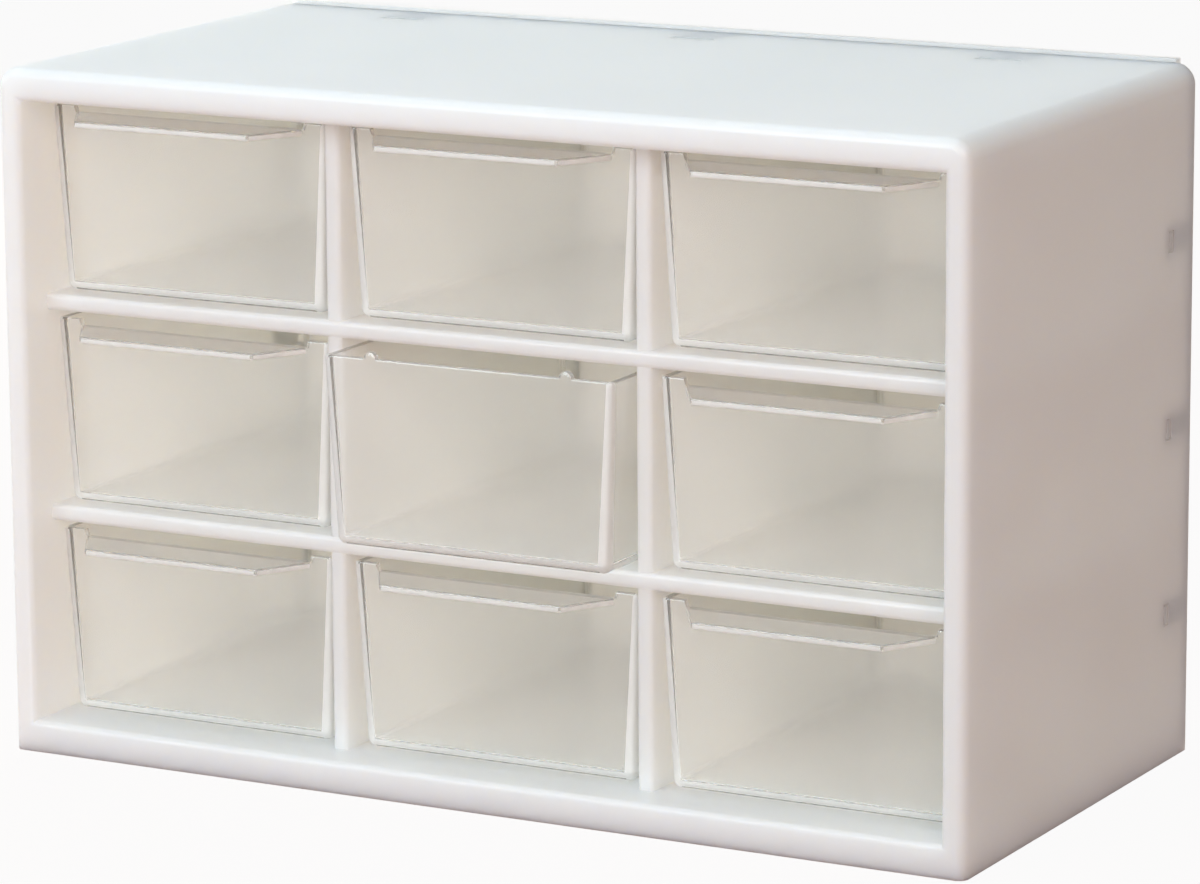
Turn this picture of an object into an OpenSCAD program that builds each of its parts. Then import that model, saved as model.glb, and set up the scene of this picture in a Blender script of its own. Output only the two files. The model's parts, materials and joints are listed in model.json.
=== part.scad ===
// Desktop cabinet with nine clear drawers in a grid of three by three.
// The front faces -Y, the base rests on Z = 0 and the origin lies under the middle of the base.

/* [Shell] */
// Outside width of the shell
shell_w = 185; // [175:1:200]
// Depth from the front rim to the rear face of the back panel
shell_d = 95; // [90:1:110]
// Height of the shell
shell_h = 122; // [118:1:135]
// Thickness of the side walls
side_t = 4.4; // [4:0.1:5]
// Thickness of the bottom wall
base_t = 5.6; // [4:0.1:6]
// Thickness of the top wall
top_t = 5.8; // [5:0.1:7]
// Radius of the two long top edges
edge_r = 3.6; // [3.6:0.1:6]
// Radius of the outer front edge of the rim
rim_r = 1.8; // [1:0.1:1.8]
// Radius of the inner front edge of the rim
lip_r = 1.2; // [0.5:0.1:1.2]

/* [Partitions] */
// Thickness of the shelves and dividers
grid_t = 2.9; // [2.4:0.1:3.4]
// How far the front edges of the shelves sit behind the rim
grid_back = 7.2; // [6:0.1:9]
// How much further back the front edges of the dividers sit
divider_back = 0.4; // [0.1:0.1:0.8]
// Radius of the front edges of the shelves and dividers
nose_r = 0.8; // [0.4:0.1:1.1]

/* [Back panel] */
// Thickness of the back panel
panel_t = 2; // [1.5:0.1:3]
// How far the upper edge of the panel stands above the shell
panel_rise = 0.6; // [0.2:0.1:1]
// Gap between the lower edge of the panel and the surface below
panel_lift = 1.5; // [1:0.5:3]
// How far the panel stays inside the outline of the shell at the sides
panel_inset = 1; // [0.6:0.1:1.4]
// Width of a snap tab in the top and bottom walls
tab_w = 8; // [6:0.5:12]
// Width of a snap tab in the side walls
side_tab_w = 3.4; // [3:0.1:6]
// Height between neighbouring tabs in a side wall
side_tab_pitch = 33; // [31:0.5:35]
// How far the middle side tab sits below mid-height of the inside
side_tab_drop = 1.4; // [0:0.1:2]
// Thickness of a snap tab
tab_t = 1.2; // [1:0.1:1.4]
// Length of a snap tab in front of the panel
tab_l = 10.4; // [8:0.1:12]
// Length of the hook at the end of a tab
hook_l = 1.8; // [1.4:0.1:2.4]
// Length of the sloping lead on a hook
lead_l = 0.7; // [0.3:0.1:1]
// Thickness of the wall outside a tab, which its hook reaches through
skin_t = 1.6; // [1.2:0.1:1.8]
// Clearance round a tab and its hook
tab_gap = 0.2; // [0.1:0.05:0.3]

/* [Drawers] */
// Clearance above the walls of a drawer
drawer_top_gap = 1.6; // [1.5:0.1:4]
// Thickness of the drawer walls and floor
drawer_t = 1.3; // [1:0.1:1.4]
// Side clearance of a drawer at its upper edge
drawer_side_gap = 0.6; // [0.5:0.1:1.2]
// Clearance under a drawer
drawer_lift = 0.3; // [0.3:0.1:0.5]
// Clearance between a closed drawer and the back panel
drawer_rear_gap = 1; // [0.5:0.1:2]
// How far the drawer fronts sit behind the rim
drawer_back = 9.7; // [9.2:0.1:12]
// Inward slope of each side wall over the drawer height
side_draft = 1.4; // [1:0.1:2.2]
// Inward slope of the front and rear walls over the drawer height
end_draft = 0.8; // [0.6:0.1:1.6]
// Radius of the lower edges of a drawer
floor_r = 2.2; // [1.8:0.1:4]
// Radius of the upright corners of a drawer
corner_r = 1.5; // [1.5:0.1:3]

/* [Drawer grips] */
// How far a grip stands out from the drawer front
grip_l = 9; // [6:0.1:9.5]
// Width of a grip where it leaves the drawer front
grip_root_w = 46; // [40:1:47]
// Width of the front edge of a grip
grip_tip_w = 35; // [28:1:40]
// Thickness of a grip
grip_t = 1.4; // [1.2:0.1:2.4]
// Depth of the notch in the drawer front above the grip
notch_h = 1.2; // [1:0.1:3]
// Gap between the grip of the turned drawer and the back panel
turned_gap = 1; // [0.3:0.1:1.5]
// Radius of the two lugs on the rear wall that stop a pulled drawer from tipping
lug_r = 1.2; // [0.8:0.1:1.2]
// Distance of a lug from the side of its drawer
lug_in = 9; // [6:0.5:14]

/* [Hidden] */
columns = 3;
rows = 3;
front_y = -shell_d / 2;
// Rear end of the shell walls, where the back panel lies against them
wall_y = shell_d / 2 - panel_t;
half_in = shell_w / 2 - side_t;
ceiling_z = shell_h - top_t;
cell_w = (2 * half_in - (columns - 1) * grid_t) / columns;
cell_h = (ceiling_z - base_t - (rows - 1) * grid_t) / rows;
shelf_y = front_y + grid_back;
divider_y = shelf_y + divider_back;
strip_w = shell_w - 2 * edge_r;
side_tab_z = (base_t + ceiling_z) / 2 - side_tab_drop;
drawer_w = cell_w - 2 * drawer_side_gap;
drawer_h = cell_h - drawer_lift - drawer_top_gap;
drawer_l = wall_y - drawer_rear_gap - front_y - drawer_back;
// Height of the straight band along the upper edge of a drawer
brim_h = 0.4;
// How far a cutting shape runs past the face that it opens
over = 1;
shell_white = [0.93, 0.93, 0.93];
drawer_clear = [0.9, 0.91, 0.88, 0.4];
$fn = 48;
// Segments in the rounded corners of a drawer
drawer_fn = 20;

// Middle of a column of cells, counted from the left
function column_x(column) = (column - (columns - 1) / 2) * (cell_w + grid_t);

// Floor of a row of cells, counted from the bottom
function row_z(row) = base_t + row * (cell_h + grid_t);

// Middle plane of the shelf above a row
function shelf_z(row) = row_z(row) + cell_h + grid_t / 2;

// Middle plane of the divider to the right of a column
function divider_x(column) = column_x(column) + (cell_w + grid_t) / 2;

// Runs a shape drawn in X and Z along the depth, from y0 back to y1
module along_depth(y0, y1) {
    translate([0, y1, 0])
        rotate([90, 0, 0])
            linear_extrude(y1 - y0)
                children();
}

// Front view of the shell: square below, with its two upper corners rounded
module shell_outline(half_w, height, radius) {
    translate([-half_w, 0])
        square([2 * half_w, height - radius]);
    translate([-(half_w - radius), 0])
        square([2 * (half_w - radius), height]);
    for (side = [-1, 1])
        translate([side * (half_w - radius), height - radius])
            circle(radius);
}

// Solid block with the outer form of the shell and a rounded front rim
module shell_block() {
    along_depth(front_y + rim_r, wall_y)
        shell_outline(shell_w / 2, shell_h, edge_r);
    along_depth(front_y, front_y + rim_r)
        shell_outline(shell_w / 2 - rim_r, shell_h - rim_r, edge_r - rim_r);
    translate([-(shell_w / 2 - edge_r), front_y + rim_r, shell_h - rim_r])
        rotate([0, 90, 0])
            cylinder(r = rim_r, h = shell_w - 2 * edge_r);
    for (side = [0, 1])
        mirror([side, 0, 0]) {
            translate([shell_w / 2 - rim_r, front_y + rim_r, 0])
                cylinder(r = rim_r, h = shell_h - edge_r);
            translate([shell_w / 2 - edge_r, front_y + rim_r, shell_h - edge_r])
                rotate([90, 0, 0])
                    rotate_extrude(angle = 90)
                        translate([edge_r - rim_r, 0])
                            circle(rim_r);
        }
}

// Flare of the opening in one view: u0 to u1 wide, with a rounded lip on both sides
module mouth_outline(u0, u1) {
    difference() {
        translate([u0 - lip_r, front_y - over])
            square([u1 - u0 + 2 * lip_r, lip_r + over]);
        for (u = [u0 - lip_r, u1 + lip_r])
            translate([u, front_y + lip_r])
                circle(lip_r);
    }
}

// Space inside the shell, with the rounded inner edge of the rim
module shell_space() {
    translate([-half_in, front_y - over, base_t])
        cube([2 * half_in, wall_y - front_y + 2 * over, ceiling_z - base_t]);
    intersection() {
        linear_extrude(shell_h)
            mouth_outline(-half_in, half_in);
        translate([-shell_w / 2, 0, 0])
            rotate([90, 0, 90])
                linear_extrude(shell_w)
                    mirror([1, 0])
                        rotate(90)
                            mouth_outline(base_t, ceiling_z);
    }
}

// Puts a snap tab's shape at its twelve places, with Z outward; $wall_t and $width describe each place
module at_tabs() {
    for (column = [0 : columns - 1]) {
        $width = tab_w;
        translate([column_x(column), wall_y, ceiling_z]) {
            $wall_t = top_t;
            children();
        }
        translate([column_x(column), wall_y, base_t])
            mirror([0, 0, 1]) {
                $wall_t = base_t;
                children();
            }
    }
    for (level = [-1 : 1], side = [-1, 1]) {
        $width = side_tab_w;
        $wall_t = side_t;
        translate([side * half_in, wall_y, side_tab_z + level * side_tab_pitch])
            rotate([0, side * 90, 0])
                children();
    }
}

// Side view of a tab: a strip that runs forward, with a hook that points out through the wall
module tab_profile(wall_t) {
    root = panel_t / 2;
    outer = wall_t - skin_t - tab_gap;
    inner = outer - tab_t;
    hook_tip = wall_t - tab_gap;
    polygon([
        [root, inner], [-tab_l, inner], [-tab_l, outer], [-tab_l + lead_l, hook_tip],
        [-tab_l + hook_l, hook_tip], [-tab_l + hook_l, outer], [root, outer]
    ]);
}

// One snap tab in the wall above the local origin
module snap_tab() {
    translate([-$width / 2, 0, 0])
        rotate([90, 0, 90])
            linear_extrude($width)
                tab_profile($wall_t);
}

// Groove in the wall for one snap tab, where it can bend inwards, and the window for its hook
module tab_room() {
    room_w = $width + 2 * tab_gap;
    room_l = tab_l + tab_gap;
    translate([-room_w / 2, -room_l, -over])
        cube([room_w, room_l + over, $wall_t - skin_t + over]);
    translate([-room_w / 2, -room_l, 0])
        cube([room_w, hook_l + 2 * tab_gap, $wall_t + over]);
}

// Outer casing: top, base and two sides in one sleeve, with windows for the hooks of the back panel
module outer_shell() {
    color(shell_white)
        difference() {
            shell_block();
            shell_space();
            at_tabs() tab_room();
        }
}

// Rear view of the panel: the outline of the shell set in a little, with a strip that stands above the top
module panel_outline() {
    translate([0, panel_lift])
        shell_outline(
            shell_w / 2 - panel_inset, shell_h - panel_inset - panel_lift, edge_r - panel_inset
        );
    translate([-strip_w / 2, shell_h / 2])
        square([strip_w, shell_h / 2 + panel_rise]);
}

// Plate that closes the rear of the shell and snaps into its four walls
module back_panel() {
    color(shell_white) {
        along_depth(wall_y, shell_d / 2)
            panel_outline();
        at_tabs() snap_tab();
    }
}

// Section of a partition: it runs back from start_y to the panel and has two rounded front edges
module partition_profile(start_y) {
    flat_t = grid_t - 2 * nose_r;
    translate([start_y, -flat_t / 2])
        square([nose_r, flat_t]);
    translate([start_y + nose_r, -grid_t / 2])
        square([wall_y - start_y - nose_r, grid_t]);
    for (face = [-1, 1])
        translate([start_y + nose_r, face * flat_t / 2])
            circle(nose_r);
}

// Shelf across the whole width, above the given row
module shelf(row) {
    color(shell_white)
        translate([-half_in, 0, shelf_z(row)])
            rotate([90, 0, 90])
                linear_extrude(2 * half_in)
                    partition_profile(shelf_y);
}

module lower_shelf() {
    shelf(0);
}

module upper_shelf() {
    shelf(1);
}

// Upright partition of one row, to the right of the given column
module divider(column, row) {
    color(shell_white)
        translate([divider_x(column), 0, row_z(row)])
            linear_extrude(cell_h)
                rotate(90)
                    partition_profile(divider_y);
}

module divider_left_bottom() {
    divider(0, 0);
}

module divider_left_middle() {
    divider(0, 1);
}

module divider_left_top() {
    divider(0, 2);
}

module divider_right_bottom() {
    divider(1, 0);
}

module divider_right_middle() {
    divider(1, 1);
}

module divider_right_top() {
    divider(1, 2);
}

// Block with sloping walls: from a rounded floor at z0 to a straight brim at z1
module sloping_block(bottom_size, top_size, z0, z1, bottom_r, top_r) {
    hull()
        for (side = [-1, 1], end = [-1, 1]) {
            translate([
                side * (bottom_size.x / 2 - bottom_r),
                drawer_l / 2 + end * (bottom_size.y / 2 - bottom_r),
                z0 + bottom_r
            ])
                sphere(bottom_r, $fn = drawer_fn);
            translate([
                side * (top_size.x / 2 - top_r),
                drawer_l / 2 + end * (top_size.y / 2 - top_r),
                z1 - brim_h
            ])
                cylinder(r = top_r, h = brim_h, $fn = drawer_fn);
        }
}

// Outside length and width of a drawer at a given height
function drawer_size(z) = [
    drawer_w - 2 * side_draft * (1 - z / drawer_h),
    drawer_l - 2 * end_draft * (1 - z / drawer_h)
];

// Open clear box with a ledge grip at its front, drawn with the front wall at Y = 0
module drawer_box() {
    walls = 2 * drawer_t * [1, 1];
    rim_z = drawer_h + over;
    color(drawer_clear) {
        difference() {
            sloping_block(drawer_size(0), drawer_size(drawer_h), 0, drawer_h, floor_r, corner_r);
            sloping_block(
                drawer_size(drawer_t) - walls, drawer_size(rim_z) - walls, drawer_t, rim_z,
                floor_r - drawer_t, corner_r - drawer_t
            );
            translate([-grip_root_w / 2, -over, drawer_h - notch_h])
                cube([grip_root_w, drawer_t + 2 * over, notch_h + over]);
        }
        translate([0, 0, drawer_h - notch_h - grip_t])
            linear_extrude(grip_t)
                polygon([
                    [-grip_root_w / 2, drawer_t], [-grip_root_w / 2, 0], [-grip_tip_w / 2, -grip_l],
                    [grip_tip_w / 2, -grip_l], [grip_root_w / 2, 0], [grip_root_w / 2, drawer_t]
                ]);
        for (side = [-1, 1])
            translate([side * (drawer_w / 2 - lug_in), drawer_l, drawer_h])
                rotate([90, 0, 0])
                    cylinder(r = lug_r, h = drawer_t);
    }
}

// Drawer pushed home in its cell
module drawer(column, row) {
    translate([column_x(column), front_y + drawer_back, row_z(row) + drawer_lift])
        drawer_box();
}

// Drawer put in back to front, whose grip comes close to the back panel and holds it proud of the others
module turned_drawer(column, row) {
    translate([column_x(column), wall_y - turned_gap - grip_l, row_z(row) + drawer_lift])
        rotate([0, 0, 180])
            drawer_box();
}

module drawer_bottom_left() {
    drawer(0, 0);
}

module drawer_bottom_middle() {
    drawer(1, 0);
}

module drawer_bottom_right() {
    drawer(2, 0);
}

module drawer_middle_left() {
    drawer(0, 1);
}

module drawer_centre() {
    turned_drawer(1, 1);
}

module drawer_middle_right() {
    drawer(2, 1);
}

module drawer_top_left() {
    drawer(0, 2);
}

module drawer_top_middle() {
    drawer(1, 2);
}

module drawer_top_right() {
    drawer(2, 2);
}

outer_shell();
back_panel();
lower_shelf();
upper_shelf();
divider_left_bottom();
divider_left_middle();
divider_left_top();
divider_right_bottom();
divider_right_middle();
divider_right_top();
drawer_bottom_left();
drawer_bottom_middle();
drawer_bottom_right();
drawer_middle_left();
drawer_centre();
drawer_middle_right();
drawer_top_left();
drawer_top_middle();
drawer_top_right();
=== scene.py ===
"""Looks of a desktop drawer organizer: white mouldings and clear drawers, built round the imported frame."""

import json
import math
from typing import NamedTuple

import bmesh
import bpy
from bpy.props import FloatProperty, FloatVectorProperty, PointerProperty
from mathutils import Matrix, Vector


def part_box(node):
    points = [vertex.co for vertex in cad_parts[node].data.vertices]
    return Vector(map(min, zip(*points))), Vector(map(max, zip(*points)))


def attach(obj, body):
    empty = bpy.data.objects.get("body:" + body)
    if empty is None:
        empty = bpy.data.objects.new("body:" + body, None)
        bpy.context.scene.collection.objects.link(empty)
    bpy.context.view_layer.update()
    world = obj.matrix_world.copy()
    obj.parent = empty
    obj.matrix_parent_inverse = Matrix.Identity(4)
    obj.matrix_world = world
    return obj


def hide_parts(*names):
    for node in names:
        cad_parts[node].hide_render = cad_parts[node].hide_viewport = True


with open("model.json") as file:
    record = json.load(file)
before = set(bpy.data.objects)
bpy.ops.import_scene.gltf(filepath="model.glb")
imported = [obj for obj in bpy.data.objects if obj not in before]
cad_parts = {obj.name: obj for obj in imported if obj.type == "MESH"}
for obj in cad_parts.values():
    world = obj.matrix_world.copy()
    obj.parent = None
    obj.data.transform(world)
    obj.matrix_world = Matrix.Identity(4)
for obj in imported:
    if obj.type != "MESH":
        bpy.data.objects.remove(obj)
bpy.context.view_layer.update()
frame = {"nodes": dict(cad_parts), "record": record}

bl_info = {
    "name": "Drawer organizer",
    "version": (1, 0, 0),
    "blender": (4, 5, 0),
    "location": "3D View > Sidebar > Organizer",
    "description": "Dresses a desktop drawer organizer: white mouldings, clear drawers, stage and camera",
    "category": "Object",
}

MM = 0.001

BODIES = frame["record"]["behaviour"]["bodies"]
CABINET = "cabinet"
SHELL = "outer_shell"
PANEL = "back_panel"
DRAWERS = sorted(name for name in BODIES if name != CABINET)
TURNED_DRAWER = "drawer_centre"
SAMPLE_LOW, SAMPLE_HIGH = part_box("drawer_top_left")

# Name of the face attribute that marks the edges of a drawer that get a painted highlight: the edge material scatters
# more light and shows them as bright lines
EDGE_HIGHLIGHT_MARK = "edge"
# The axis along which each kind of partition runs from wall to wall
PARTITIONS = {"shelf": 0, "divider": 2}
# How far the ends of a partition run into what carries them
SEAT = 0.5 * MM
# Points that lie closer than this become one
MERGE = 0.002 * MM
# Faces that turn less than this become one, and edges that turn more than this stay sharp
FLAT = math.radians(0.4)
SHARP = math.radians(38.0)


class Pattern(NamedTuple):
    """A noise on a surface: its scale, its layers of detail and how strong they are."""

    scale: float
    detail: float
    roughness: float


PLASTIC_IOR = 1.5
FULL = (0.0, 1.0)
WHITE_CLOUD = Pattern(14.0, 3.0, 0.55)
WHITE_FLOW = Pattern(55.0, 4.0, 0.6)
WHITE_GRAIN = Pattern(2600.0, 2.0, 0.5)
# The part of the noise that is used, the share of colour in duller places and the change of gloss
WHITE_RANGE = (0.3, 0.7)
WHITE_DULL = 0.975
WHITE_GLOSS_CHANGE = (-0.05, 0.06)
GRAIN_STRENGTH = 0.05
GRAIN_DEPTH = 0.1 * MM
CLEAR_SMEAR = Pattern(90.0, 3.0, 0.6)
CLEAR_CLOUD = Pattern(38.0, 2.0, 0.5)
SMEAR_RANGE = (0.35, 0.75)
CLOUD_RANGE = (0.35, 0.65)
CLEAR_DULL = 0.985
CLEAR_BLUR_CHANGE = (-0.03, 0.04)


class Lamp(NamedTuple):
    """A soft rectangular light: where it stands, its two sides, its colour, and if gloss shows it."""

    name: str
    place: tuple
    size: tuple
    shade: tuple
    mirrored: bool = True


LAMPS = {
    "key": Lamp("key light", (-0.21, -0.66, 0.32), (0.42, 0.42), (0.81, 0.93, 1.0)),
    "top": Lamp("top light", (-0.3, -0.2, 1.45), (1.4, 1.2), (0.70, 0.92, 1.0)),
    "rear": Lamp("rear light", (-0.5, 0.45, 0.2), (0.4, 0.3), (0.97, 1.0, 0.97), mirrored=False),
    "fill": Lamp("fill light", (0.7, -0.8, 0.5), (0.5, 0.5), (1.0, 0.905, 0.855)),
}
LAMP_AIM = (0.0, 0.0, 0.06)
WHITE_LIGHT = (1.0, 1.0, 1.0, 1.0)
FLOOR_REACH = 30.0
FLOOR_CELLS = 4
FLOOR_DROP = 0.2 * MM
# Light crosses many clear walls before it leaves the drawers
BOUNCES = {
    "max_bounces": 40,
    "diffuse_bounces": 12,
    "transmission_bounces": 32,
    "transparent_max_bounces": 48,
}
SENSOR_WIDTH = 36.0
CAMERA_CLIP = (0.05, 100.0)


def length(name, description, millimetres):
    """A size in the property groups, given in millimetres."""
    return FloatProperty(
        name=name, description=description, default=millimetres * MM, min=0.0, unit="LENGTH", subtype="DISTANCE"
    )


def colour(name, description, value):
    """A colour in the property groups."""
    return FloatVectorProperty(
        name=name, description=description, default=value, size=3, min=0.0, max=1.0, subtype="COLOR"
    )


def factor(name, description, value):
    """A share from 0 to 1 in the property groups."""
    return FloatProperty(name=name, description=description, default=value, min=0.0, max=1.0, subtype="FACTOR")


def angle(name, description, degrees):
    """An angle in the property groups, given in degrees."""
    return FloatProperty(name=name, description=description, default=math.radians(degrees), subtype="ANGLE")


def power(name, description, watts):
    """The power of a lamp in the property groups."""
    return FloatProperty(name=name, description=description, default=watts, min=0.0, unit="POWER")


class OrganizerDrawerSizes(bpy.types.PropertyGroup):
    """Sizes of one clear drawer"""

    wall: length("Wall", "Thickness of the walls and the floor", 1.3)
    side_slope: length("Side slope", "How far each side wall leans in over its height", 1.4)
    end_slope: length("End slope", "How far the front and rear walls lean in over their height", 0.6)
    floor_radius: length("Floor radius", "Radius of the lower edges", 1.6)
    corner_radius: length("Corner radius", "Radius of the upright corners at the rim", 0.9)
    # The edge strip widens the painted highlight line of each upright corner
    edge_strip: length("Edge strip", "Width of the painted highlight strip beside an upright corner", 0.3)
    inner_radius: length("Inner radius", "Radius between the walls and the floor inside", 0.6)
    rim_radius: length("Rim radius", "Radius of the rounded rim", 0.35)
    notch: length("Notch", "Depth of the notch above the grip", 1.2)
    grip_length: length("Grip length", "How far the grip stands out from the front", 9.0)
    grip_root: length("Grip root", "Width of the grip where it leaves the front", 46.0)
    grip_tip: length("Grip tip", "Width of the grip's front edge", 35.0)
    grip_thickness: length("Grip thickness", "Thickness of the grip", 1.15)
    grip_edge: length("Grip edge", "Rounding of the grip's edges", 0.3)
    lug_radius: length("Lug radius", "Radius of the two lugs on the rear wall", 1.2)
    lug_inset: length("Lug inset", "Distance of a lug from the side of the drawer", 9.0)


class OrganizerFinish(bpy.types.PropertyGroup):
    """Colours and gloss of the two plastics"""

    white: colour("White plastic", "Colour of the shell, shelves, dividers and back panel", (0.98, 0.977, 0.968))
    white_gloss: factor("White roughness", "Roughness of the white plastic", 0.34)
    depth: factor("Depth", "Share of light that goes into the white plastic before it comes out", 1.0)
    spread: FloatVectorProperty(
        name="Spread", description="How far red, green and blue light travel in the white plastic", size=3,
        default=(9.0 * MM, 8.4 * MM, 7.4 * MM), unit="LENGTH",
    )
    panel_share: factor("Panel spread", "Share of that spread in the denser plastic of the back panel", 0.8)
    clear: colour("Clear plastic", "Colour of light that passes through a drawer wall", (1.0, 0.997, 0.985))
    haze: factor("Haze", "Share of light that a drawer wall scatters", 0.1)
    blur: factor("Blur", "Roughness of the drawer walls under their polished skin", 0.16)
    # The edge haze and edge blur paint a highlight on the marked edges of the drawers: they scatter more light than
    # the walls and show as bright lines
    edge_highlight_haze: factor("Edge haze", "Share of light that the edges of a drawer scatter", 0.62)
    edge_blur: factor("Edge blur", "Roughness of the edges of a drawer", 0.5)
    skin: factor("Skin", "Strength of the polished skin of the drawers", 0.4)
    skin_blur: factor("Skin blur", "Roughness of that skin", 0.03)


class OrganizerStage(bpy.types.PropertyGroup):
    """Camera, floor and studio light"""

    camera_place: FloatVectorProperty(
        name="Camera place", description="Where the camera stands", size=3,
        default=(0.468555, -0.868856, 0.264787), subtype="TRANSLATION", unit="LENGTH",
    )
    camera_turn: angle("Camera azimuth", "Turn of the camera to the right of the front", 28.3288)
    camera_rise: angle("Camera elevation", "Tilt of the camera above the horizon", 11.9783)
    camera_roll: angle("Camera roll", "Turn of the picture about the line of sight", -0.3664)
    lens: FloatProperty(
        name="Focal length", description="Focal length of the camera in millimetres", default=172.885, min=1.0
    )
    floor: colour("Floor", "Colour of the floor", (0.46, 0.26, 0.2))
    floor_white: factor("Floor white", "Share of plain white in the floor that the camera sees", 0.95)
    air: colour("Surroundings", "Colour of the light from all round", (1.0, 0.92, 0.87))
    ambient: FloatProperty(name="Ambient", description="Brightness of the surroundings", default=0.11, min=0.0)
    key: power("Key light", "Power of the light at the front left", 2.85)
    top: power("Top light", "Power of the light overhead", 8.5)
    rear: power("Rear light", "Power of the light behind the left rear corner", 4.8)
    fill: power("Fill light", "Power of the warm light at the front right", 4.8)


class Value:
    """An output socket of a node tree, with arithmetic for numbers."""

    def __init__(self, tree, socket):
        self.tree = tree
        self.socket = socket

    def _math(self, operation, first, second):
        return self.tree.node("ShaderNodeMath", {"operation": operation}, {0: first, 1: second})

    def __add__(self, other):
        return self._math("ADD", self, other)

    def __sub__(self, other):
        return self._math("SUBTRACT", self, other)

    def __rsub__(self, other):
        return self._math("SUBTRACT", other, self)

    def __mul__(self, other):
        return self._math("MULTIPLY", self, other)

    __radd__ = __add__
    __rmul__ = __mul__


class Tree:
    """A node tree that is filled by expressions and by one method for every node."""

    # Sockets of the Mix node in its colour form
    mix_share, mix_first, mix_second, mix_result = 0, 6, 7, 2

    def __init__(self, tree):
        self.tree = tree
        tree.nodes.clear()

    def node(self, kind, settings=None, inputs=None, output=0):
        """Adds a node: its type, then its settings, then the values or links of its sockets."""
        made = self.tree.nodes.new(kind)
        for name, value in (settings or {}).items():
            setattr(made, name, value)
        for name, value in (inputs or {}).items():
            socket = made.inputs[name]
            if isinstance(value, Value):
                self.tree.links.new(value.socket, socket)
            else:
                socket.default_value = value
        return Value(self, made.outputs[output]) if made.outputs else None

    def noise(self, pattern):
        """A noise on the object's own coordinates."""
        place = self.node("ShaderNodeTexCoord", output="Object")
        return self.node(
            "ShaderNodeTexNoise", {},
            {"Vector": place, "Scale": pattern.scale, "Detail": pattern.detail, "Roughness": pattern.roughness},
        )

    def remap(self, value, old, new):
        """Takes a number from one range to another, and not past its ends."""
        return self.node(
            "ShaderNodeMapRange", {"clamp": True},
            {"Value": value, "From Min": old[0], "From Max": old[1], "To Min": new[0], "To Max": new[1]},
        )

    def mix(self, share, first, second):
        """A colour between two others."""
        return self.node(
            "ShaderNodeMix", {"data_type": "RGBA"},
            {self.mix_share: share, self.mix_first: first, self.mix_second: second}, self.mix_result,
        )

    def layers(self, share, first, second):
        """A shader between two others."""
        return self.node("ShaderNodeMixShader", {}, {0: share, 1: first, 2: second})

    def rays(self, *kinds):
        """1 for a ray of any of these kinds, otherwise 0."""
        first, *others = (1 - self.node("ShaderNodeLightPath", output=kind) for kind in kinds)
        return 1 - math.prod(others, start=first)

    def shown_rays(self):
        """1 for a ray that shows the white background in the picture, in gloss or through clear plastic."""
        return self.rays("Is Camera Ray", "Is Glossy Ray", "Is Transmission Ray")


def rgba(value, share=1.0):
    """A colour property, scaled by a share, as the four numbers of a colour socket."""
    return (value[0] * share, value[1] * share, value[2] * share, 1.0)


def new_material(name):
    """A material and its empty node tree."""
    material = bpy.data.materials.get(name) or bpy.data.materials.new(name)
    material.use_nodes = True
    return material, Tree(material.node_tree)


def white_material(name, finish, share):
    """Satin white plastic with a faint moulded grain, flow marks and soft gloss changes."""
    material, tree = new_material(name)
    cloud, flow, grain = (tree.noise(pattern) for pattern in (WHITE_CLOUD, WHITE_FLOW, WHITE_GRAIN))
    tone = tree.remap(0.7 * cloud + 0.3 * flow, WHITE_RANGE, FULL)
    bump = tree.node(
        "ShaderNodeBump", {},
        {"Strength": GRAIN_STRENGTH, "Distance": GRAIN_DEPTH, "Height": 0.6 * grain + 0.4 * flow},
    )
    plastic = tree.node(
        "ShaderNodeBsdfPrincipled", {},
        {
            "Base Color": tree.mix(tone, rgba(finish.white, WHITE_DULL), rgba(finish.white)),
            "Roughness": tree.remap(flow, WHITE_RANGE, [finish.white_gloss + change for change in WHITE_GLOSS_CHANGE]),
            "IOR": PLASTIC_IOR, "Normal": bump,
            "Subsurface Weight": finish.depth, "Subsurface Radius": finish.spread, "Subsurface Scale": share,
        },
    )
    tree.node("ShaderNodeOutputMaterial", {}, {"Surface": plastic})
    return material


def clear_material(name, finish, haze, blur):
    """Clear moulded plastic: it bends light like glass, scatters a share of it and lets lamps through."""
    material, tree = new_material(name)
    smear, cloud = tree.noise(CLEAR_SMEAR), tree.noise(CLEAR_CLOUD)
    tone = tree.remap(cloud, CLOUD_RANGE, FULL)
    plastic = tree.node(
        "ShaderNodeBsdfPrincipled", {},
        {
            "Base Color": tree.mix(tone, rgba(finish.clear, CLEAR_DULL), rgba(finish.clear)),
            "Roughness": tree.remap(smear, SMEAR_RANGE, [blur + change for change in CLEAR_BLUR_CHANGE]),
            "IOR": PLASTIC_IOR, "Transmission Weight": 1.0 - haze,
            "Coat Weight": finish.skin, "Coat Roughness": finish.skin_blur,
        },
    )
    passing = tree.node("ShaderNodeBsdfTransparent", {}, {"Color": rgba(finish.clear)})
    dressed = tree.layers(tree.rays("Is Shadow Ray", "Is Diffuse Ray"), plastic, passing)
    tree.node("ShaderNodeOutputMaterial", {}, {"Surface": dressed})
    return material


def mesh_object(name, bm, material):
    """A finished piece at the origin, from a bmesh."""
    mesh = bpy.data.meshes.new(name)
    bm.to_mesh(mesh)
    bm.free()
    mesh.materials.append(material)
    piece = bpy.data.objects.new(name, mesh)
    bpy.context.scene.collection.objects.link(piece)
    return piece


def baked(piece):
    """Replaces the modifiers of a piece by the mesh that they make."""
    graph = bpy.context.evaluated_depsgraph_get()
    mesh = bpy.data.meshes.new_from_object(piece.evaluated_get(graph))
    if not mesh.polygons:
        raise RuntimeError(f"the modifiers of {piece.name} leave no faces")
    piece.modifiers.clear()
    old = piece.data
    piece.data = mesh
    mesh.name = piece.name
    bpy.data.meshes.remove(old)


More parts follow.
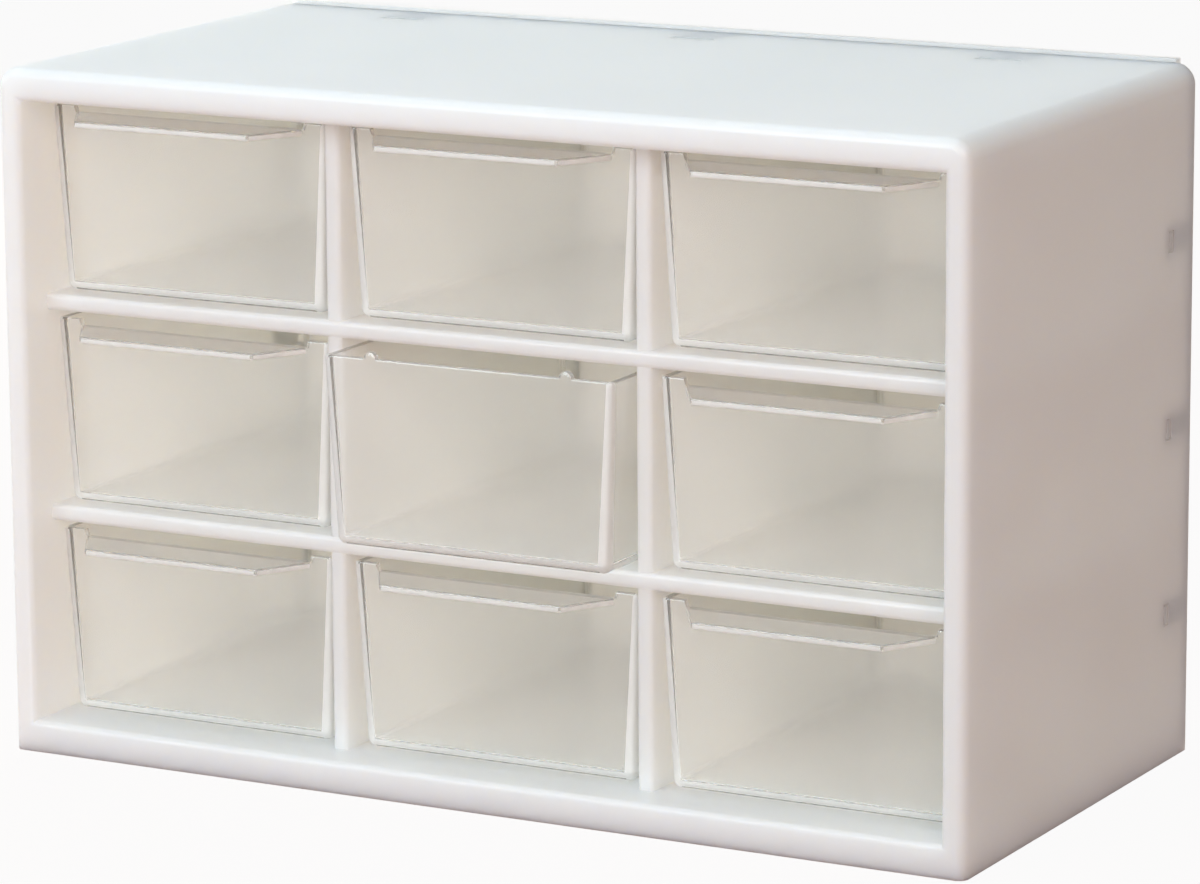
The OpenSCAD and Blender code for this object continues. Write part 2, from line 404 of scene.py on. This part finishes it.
def smooth_faces(bm):
    """Shades a bmesh smooth, apart from its sharp edges."""
    for face in bm.faces:
        face.smooth = True
    for edge in bm.edges:
        edge.smooth = len(edge.link_faces) == 2 and edge.calc_face_angle(0.0) < SHARP


def weigh_normals(piece):
    """Keeps the large faces of a piece flat in their shading."""
    modifier = piece.modifiers.new("weighted normals", "WEIGHTED_NORMAL")
    modifier.keep_sharp = True
    baked(piece)


def merged(node):
    """A copy of a CAD node with its triangles joined."""
    bm = bmesh.new()
    bm.from_mesh(frame["nodes"][node].data)
    bmesh.ops.remove_doubles(bm, verts=bm.verts, dist=MERGE)
    return bm


def seated(node, axis):
    """A copy of a partition whose two ends run a little way into what carries them."""
    bm = merged(node)
    low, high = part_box(node)
    middle = (low[axis] + high[axis]) / 2
    for vertex in bm.verts:
        vertex.co[axis] += math.copysign(SEAT, vertex.co[axis] - middle)
    return bm


def finished_moulding(piece, nodes):
    """Gives a white moulding flat faces and smooth rounds, and lets it stand for its CAD nodes."""
    bm = bmesh.new()
    bm.from_mesh(piece.data)
    bmesh.ops.remove_doubles(bm, verts=bm.verts, dist=MERGE)
    bmesh.ops.dissolve_limit(bm, angle_limit=FLAT, verts=bm.verts, edges=bm.edges)
    bmesh.ops.recalc_face_normals(bm, faces=bm.faces)
    smooth_faces(bm)
    bm.to_mesh(piece.data)
    bm.free()
    weigh_normals(piece)
    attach(piece, CABINET)
    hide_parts(*nodes)


def joined_shell(material):
    """The shell with its shelves and dividers as one moulding."""
    shell = mesh_object("moulded_cabinet", merged(SHELL), material)
    nodes, tools = [SHELL], []
    for node in BODIES[CABINET]:
        axis = next((axis for word, axis in PARTITIONS.items() if word in node), None)
        if axis is None:
            continue
        tool = mesh_object("seated_" + node, seated(node, axis), material)
        join = shell.modifiers.new(node, "BOOLEAN")
        join.operation, join.solver, join.object = "UNION", "MANIFOLD", tool
        nodes.append(node)
        tools.append(tool)
    baked(shell)
    for tool in tools:
        mesh = tool.data
        bpy.data.objects.remove(tool)
        bpy.data.meshes.remove(mesh)
    finished_moulding(shell, nodes)


class Column(NamedTuple):
    """A line up the outside of a drawer: the wall or corner it stands on, where, its rim height and rim radius.

    A column of a corner can stand a little beside it, on the wall that follows.
    """

    wall: str
    where: float
    top: float
    rim: float
    beside: float = 0.0


class Ring(NamedTuple):
    """A line round a drawer: its inset and height for a column, and if the strip above it is an edge that gets the
    painted highlight.
    """

    trace: object
    edge: bool = False


class DrawerForm:
    """Outline and heights of one clear drawer, centred on its plan, with its floor at zero."""

    corner_steps = 8
    floor_steps = 6
    lug_steps = 10
    bevel_steps = 3
    # Faces of the grip's rounding that look down more than this get the painted highlight of the edge material
    grip_shine = -0.2
    # Width of the step beside the notch, and height of the upright brim below the rim
    notch_run = 0.35 * MM
    brim = 0.4 * MM
    # Each corner's side in X, side in Y and first angle
    corners = {
        "front right": (1, -1, -90),
        "rear right": (1, 1, 0),
        "rear left": (-1, 1, 90),
        "front left": (-1, -1, 180),
    }

    def __init__(self, sizes):
        self.sizes = sizes
        extent = SAMPLE_HIGH - SAMPLE_LOW
        self.half_width = extent.x / 2
        self.half_length = (extent.y - sizes.grip_length) / 2
        self.height = extent.z - sizes.lug_radius
        self.columns = self._columns()
        self.rings = self._rings()

    def _columns(self):
        """Columns round the plan, from the left of the notch over the right side and the rear."""
        sizes = self.sizes
        full, low, rim = self.height, self.height - sizes.notch, sizes.rim_radius
        reach = sizes.grip_root / 2
        lug = self.half_width - sizes.lug_inset
        front = [
            Column("front", -reach - self.notch_run, full, rim), Column("front", -reach, low, 0.0),
            Column("front", reach, low, 0.0), Column("front", reach + self.notch_run, full, rim),
        ]
        rear = []
        for side in (1, -1):
            for step in range(self.lug_steps + 1):
                turn = math.pi * step / self.lug_steps
                across, rise = sizes.lug_radius * math.cos(turn), sizes.lug_radius * math.sin(turn)
                rear.append(Column("rear", side * lug + across, full + rise, rim))
        turned = {}
        for name, (_, _, start) in self.corners.items():
            bend = [
                Column(name, math.radians(start + 90 * step / self.corner_steps), full, rim)
                for step in range(self.corner_steps + 1)
            ]
            # The strips beside a corner widen its painted highlight onto the walls that follow
            before, after = (end._replace(beside=sizes.edge_strip) for end in (bend[0], bend[-1]))
            turned[name] = [before, *bend, after]
        return front + turned["front right"] + turned["rear right"] + rear + turned["rear left"] + turned["front left"]

    def lean(self, z):
        """Share of the wall's slope that is used up at a height."""
        low, high = self.sizes.floor_radius, self.height - self.brim
        return min(max((z - low) / (high - low), 0.0), 1.0)

    def point(self, column, inset, z):
        """A point of the drawer on one column, at an inset from the outside and a height."""
        sizes = self.sizes
        lean = self.lean(z)
        half_x = self.half_width - sizes.side_slope * (1 - lean) - inset
        half_y = self.half_length - sizes.end_slope * (1 - lean) - inset
        if column.wall == "front":
            return Vector((column.where, -half_y, z))
        if column.wall == "rear":
            return Vector((column.where, half_y, z))
        sign_x, sign_y, _ = self.corners[column.wall]
        along_x, along_y = math.cos(column.where), math.sin(column.where)
        radius = max(sizes.floor_radius + (sizes.corner_radius - sizes.floor_radius) * lean - inset, 0.0)
        return Vector((
            sign_x * (half_x - radius - column.beside * abs(along_y)) + radius * along_x,
            sign_y * (half_y - radius - column.beside * abs(along_x)) + radius * along_y,
            z,
        ))

    def _rings(self):
        """Rings from the outer floor up, over the rim and down to the inner floor."""
        sizes = self.sizes
        floor, wall, edge, inner = sizes.floor_radius, sizes.wall, sizes.rim_radius, sizes.inner_radius
        # Share of a radius between the middle of its arc and the corner that it rounds
        eighth = 1 - math.sqrt(0.5)
        made = []
        for step in range(self.floor_steps + 1):
            turn = math.pi / 2 * (1 - step / self.floor_steps)
            # The upper half of the lower rounding gets the painted highlight along the floor of the drawer
            made.append(Ring(
                lambda top, rim, t=turn: (floor * (1 - math.cos(t)), floor * (1 - math.sin(t))),
                self.floor_steps / 2 <= step < self.floor_steps,
            ))
        self.grip_ring = len(made)
        made += [
            Ring(lambda top, rim: (0.0, top - sizes.grip_thickness)),
            Ring(lambda top, rim: (0.0, top - rim)),
            Ring(lambda top, rim: (rim * eighth, top - rim * eighth)),
            Ring(lambda top, rim: (rim, top)),
            Ring(lambda top, rim: (wall - edge, top)),
            Ring(lambda top, rim: (wall - edge * eighth, top - edge * eighth)),
            Ring(lambda top, rim: (wall, top - edge)),
        ]
        for step in range(self.floor_steps + 1):
            turn = math.pi / 2 * step / self.floor_steps
            made.append(Ring(
                lambda top, rim, t=turn: (wall + inner * (1 - math.cos(t)), wall + inner * (1 - math.sin(t)))
            ))
        return made

    def on_corner(self, column, after, level):
        """True where a face gets the painted highlight of an upright corner: between two columns of one upright
        corner, and outside also on the strips beside it.
        """
        beside = column.beside or after.beside
        return column.wall in self.corners and column.wall == after.wall and (level <= self.grip_ring or not beside)

    def build(self):
        """The drawer as a closed bmesh whose edge faces are marked for the painted highlight."""
        bm = bmesh.new()
        mark = bm.faces.layers.int.new(EDGE_HIGHLIGHT_MARK)
        columns, rings = self.columns, self.rings
        rows = [
            [bm.verts.new(self.point(column, *ring.trace(column.top, column.rim))) for column in columns]
            for ring in rings
        ]
        gripping = [index for index, column in enumerate(columns) if column.rim == 0.0]
        for level, (lower, upper) in enumerate(zip(rows, rows[1:])):
            for index, column in enumerate(columns):
                if level == self.grip_ring and index == gripping[0]:
                    continue
                after = (index + 1) % len(columns)
                face = bm.faces.new((lower[index], lower[after], upper[after], upper[index]))
                face[mark] = int(rings[level].edge or self.on_corner(column, columns[after], level))
        bm.faces.new(list(reversed(rows[0])))
        bm.faces.new(rows[-1])
        edges = self._grip(bm, rows[self.grip_ring], rows[self.grip_ring + 1], gripping, mark)
        rounded = bmesh.ops.bevel(
            bm, geom=edges, offset=self.sizes.grip_edge, segments=self.bevel_steps, profile=0.5, affect="EDGES",
            clamp_overlap=True,
        )
        # Rounded grip faces that look down get the painted highlight
        for face in rounded["faces"]:
            face.normal_update()
            face[mark] = int(face.normal.z < self.grip_shine)
        bmesh.ops.remove_doubles(bm, verts=bm.verts, dist=MERGE)
        bmesh.ops.dissolve_degenerate(bm, edges=bm.edges, dist=MERGE)
        bmesh.ops.recalc_face_normals(bm, faces=bm.faces)
        smooth_faces(bm)
        return bm

    def _grip(self, bm, lower, upper, gripping, mark):
        """Adds the ledge grip in front of the notch and returns its free edges."""
        sizes = self.sizes
        taper = sizes.grip_tip / sizes.grip_root
        tip_y = -self.half_length - sizes.grip_length
        low, high = [], []
        for index in gripping:
            for made, source in ((low, lower[index]), (high, upper[index])):
                made.append(bm.verts.new((source.co.x * taper, tip_y, source.co.z)))
        left, right = gripping
        front = bm.faces.new((low[0], low[1], high[1], high[0]))
        bm.faces.new((high[0], high[1], upper[right], upper[left]))
        bm.faces.new((lower[left], lower[right], low[1], low[0]))
        left_end = bm.faces.new((lower[left], low[0], high[0], upper[left]))
        right_end = bm.faces.new((low[1], lower[right], upper[right], high[1]))
        # The grip's front and end faces get the painted highlight
        for face in (front, left_end, right_end):
            face[mark] = 1
        pairs = (
            low, high, (low[0], high[0]), (low[1], high[1]),
            (low[0], lower[left]), (low[1], lower[right]), (high[0], upper[left]), (high[1], upper[right]),
        )
        return [bm.edges.get(pair) for pair in pairs]


def cell_tree(wall_material, edge_highlight_material):
    """Geometry nodes that set a drawer into its cell, dress its walls and give its marked edges the material with the
    painted highlight.
    """
    group = bpy.data.node_groups.new("Drawer in its cell", "GeometryNodeTree")
    sockets = group.interface
    sockets.new_socket("Geometry", in_out="INPUT", socket_type="NodeSocketGeometry")
    inputs = {}
    for name, kind in (("Middle", "NodeSocketVector"), ("Turn", "NodeSocketFloat")):
        inputs[name] = sockets.new_socket(name, in_out="INPUT", socket_type=kind).identifier
    sockets.new_socket("Geometry", in_out="OUTPUT", socket_type="NodeSocketGeometry")
    tree = Tree(group)
    drawer, middle, turn = (tree.node("NodeGroupInput", output=name) for name in ("Geometry", "Middle", "Turn"))
    point = tree.node("GeometryNodePoints", {}, {"Count": 1, "Position": middle})
    turned = tree.node("ShaderNodeCombineXYZ", {}, {"Z": turn})
    placed = tree.node(
        "GeometryNodeInstanceOnPoints", {}, {"Points": point, "Instance": drawer, "Rotation": turned}
    )
    real = tree.node("GeometryNodeRealizeInstances", {}, {"Geometry": placed})
    marked = tree.node(
        "GeometryNodeInputNamedAttribute", {"data_type": "INT"}, {"Name": EDGE_HIGHLIGHT_MARK}, "Attribute"
    )
    walls = tree.node("GeometryNodeSetMaterial", {}, {"Geometry": real, "Material": wall_material})
    # Marked faces get the edge material, which paints a highlight along them
    edges = tree.node(
        "GeometryNodeSetMaterial", {}, {"Geometry": walls, "Selection": marked, "Material": edge_highlight_material}
    )
    tree.node("NodeGroupOutput", {}, {"Geometry": edges})
    return group, inputs


class OBJECT_OT_organizer_mouldings(bpy.types.Operator):
    """Dresses the shell, back panel, shelves and dividers in white plastic"""

    bl_idname = "object.organizer_mouldings"
    bl_label = "White mouldings"

    def execute(self, context):
        finish = context.scene.organizer_finish
        joined_shell(white_material("white moulded plastic", finish, 1.0))
        material = white_material("white moulded plastic panel", finish, finish.panel_share)
        panel = mesh_object("moulded_" + PANEL, merged(PANEL), material)
        finished_moulding(panel, [PANEL])
        return {"FINISHED"}


class OBJECT_OT_organizer_drawers(bpy.types.Operator):
    """Builds the clear drawers, each on its own body"""

    bl_idname = "object.organizer_drawers"
    bl_label = "Clear drawers"

    def execute(self, context):
        sizes = context.scene.organizer_drawers
        finish = context.scene.organizer_finish
        material = clear_material("clear moulded plastic", finish, finish.haze, finish.blur)
        # The edge material, with more haze and blur, paints a highlight on the marked edges
        edges = clear_material("clear moulded plastic edge", finish, finish.edge_highlight_haze, finish.edge_blur)
        tree, inputs = cell_tree(material, edges)
        form = DrawerForm(sizes)
        for name in DRAWERS:
            low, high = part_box(name)
            turned = name == TURNED_DRAWER
            body_y = (low.y + high.y + (-1 if turned else 1) * sizes.grip_length) / 2
            piece = mesh_object("clear_" + name, form.build(), material)
            cell = piece.modifiers.new("cell", "NODES")
            cell.node_group = tree
            cell[inputs["Middle"]] = ((low.x + high.x) / 2, body_y, low.z)
            cell[inputs["Turn"]] = math.pi if turned else 0.0
            baked(piece)
            weigh_normals(piece)
            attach(piece, name)
            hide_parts(name)
        return {"FINISHED"}


class OBJECT_OT_organizer_stage(bpy.types.Operator):
    """Sets up the floor, the surroundings, the lights and the camera"""

    bl_idname = "object.organizer_stage"
    bl_label = "Stage"

    def execute(self, context):
        scene = context.scene
        stage = scene.organizer_stage
        scene.view_settings.view_transform = "Standard"
        for name, count in BOUNCES.items():
            setattr(scene.cycles, name, count)
        self.floor(stage)
        self.surroundings(scene, stage)
        for name, lamp in LAMPS.items():
            self.light(scene, lamp, getattr(stage, name))
        self.camera(scene, stage)
        return {"FINISHED"}

    def floor(self, stage):
        """A plain floor that shows white and still takes the shadow."""
        material, tree = new_material("studio floor")
        matte = tree.node("ShaderNodeBsdfDiffuse", {}, {"Color": rgba(stage.floor)})
        white = tree.node("ShaderNodeEmission", {}, {"Color": WHITE_LIGHT, "Strength": 1.0})
        surface = tree.layers(tree.shown_rays() * stage.floor_white, matte, white)
        tree.node("ShaderNodeOutputMaterial", {}, {"Surface": surface})
        bm = bmesh.new()
        bmesh.ops.create_grid(bm, x_segments=FLOOR_CELLS, y_segments=FLOOR_CELLS, size=FLOOR_REACH)
        floor = mesh_object("studio_floor", bm, material)
        floor.data.transform(Matrix.Translation((0.0, 0.0, -FLOOR_DROP)))

    def surroundings(self, scene, stage):
        """Soft light from all round, behind a background that shows white."""
        world = scene.world or bpy.data.worlds.new("studio")
        scene.world = world
        world.use_nodes = True
        tree = Tree(world.node_tree)
        dim = tree.node("ShaderNodeBackground", {}, {"Color": rgba(stage.air), "Strength": stage.ambient})
        white = tree.node("ShaderNodeBackground", {}, {"Color": WHITE_LIGHT, "Strength": 1.0})
        tree.node("ShaderNodeOutputWorld", {}, {"Surface": tree.layers(tree.shown_rays(), dim, white)})

    def light(self, scene, lamp, watts):
        """One soft light, turned to the part."""
        light = bpy.data.lights.new(lamp.name, "AREA")
        light.shape = "RECTANGLE"
        light.size, light.size_y = lamp.size
        light.energy = watts
        light.color = lamp.shade
        holder = bpy.data.objects.new(lamp.name, light)
        holder.location = lamp.place
        holder.rotation_mode = "QUATERNION"
        holder.rotation_quaternion = (Vector(LAMP_AIM) - Vector(lamp.place)).to_track_quat("-Z", "Y")
        holder.visible_camera = False
        holder.visible_glossy = lamp.mirrored
        scene.collection.objects.link(holder)

    def camera(self, scene, stage):
        """The camera at the photograph's angle."""
        lens = bpy.data.cameras.new("photo view")
        lens.lens = stage.lens
        lens.sensor_width = SENSOR_WIDTH
        lens.clip_start, lens.clip_end = CAMERA_CLIP
        camera = bpy.data.objects.new("photo view", lens)
        turn, rise, roll = stage.camera_turn, stage.camera_rise, stage.camera_roll
        back = Vector((math.sin(turn) * math.cos(rise), -math.cos(turn) * math.cos(rise), math.sin(rise)))
        level = Vector((math.cos(turn), math.sin(turn), 0.0))
        above = back.cross(level)
        right = math.cos(roll) * level + math.sin(roll) * above
        up = -math.sin(roll) * level + math.cos(roll) * above
        camera.rotation_mode = "QUATERNION"
        camera.rotation_quaternion = Matrix((right, up, back)).transposed().to_quaternion()
        camera.location = stage.camera_place
        scene.collection.objects.link(camera)
        scene.camera = camera


class VIEW3D_PT_organizer(bpy.types.Panel):
    """Lists the steps that dress the organizer"""

    bl_label = "Drawer organizer"
    bl_idname = "VIEW3D_PT_organizer"
    bl_space_type = "VIEW_3D"
    bl_region_type = "UI"
    bl_category = "Organizer"

    def draw(self, context):
        for operator in STEPS:
            self.layout.operator(operator.bl_idname)


STEPS = (OBJECT_OT_organizer_stage, OBJECT_OT_organizer_mouldings, OBJECT_OT_organizer_drawers)
GROUPS = {
    "organizer_drawers": OrganizerDrawerSizes,
    "organizer_finish": OrganizerFinish,
    "organizer_stage": OrganizerStage,
}
CLASSES = (*GROUPS.values(), *STEPS, VIEW3D_PT_organizer)


def register():
    for made in CLASSES:
        bpy.utils.register_class(made)
    for name, group in GROUPS.items():
        setattr(bpy.types.Scene, name, PointerProperty(type=group))


def unregister():
    for name in GROUPS:
        delattr(bpy.types.Scene, name)
    for made in reversed(CLASSES):
        bpy.utils.unregister_class(made)


def main():
    register()
    bpy.ops.object.organizer_stage()
    bpy.ops.object.organizer_mouldings()
    bpy.ops.object.organizer_drawers()


if __name__ == "__main__":
    main()
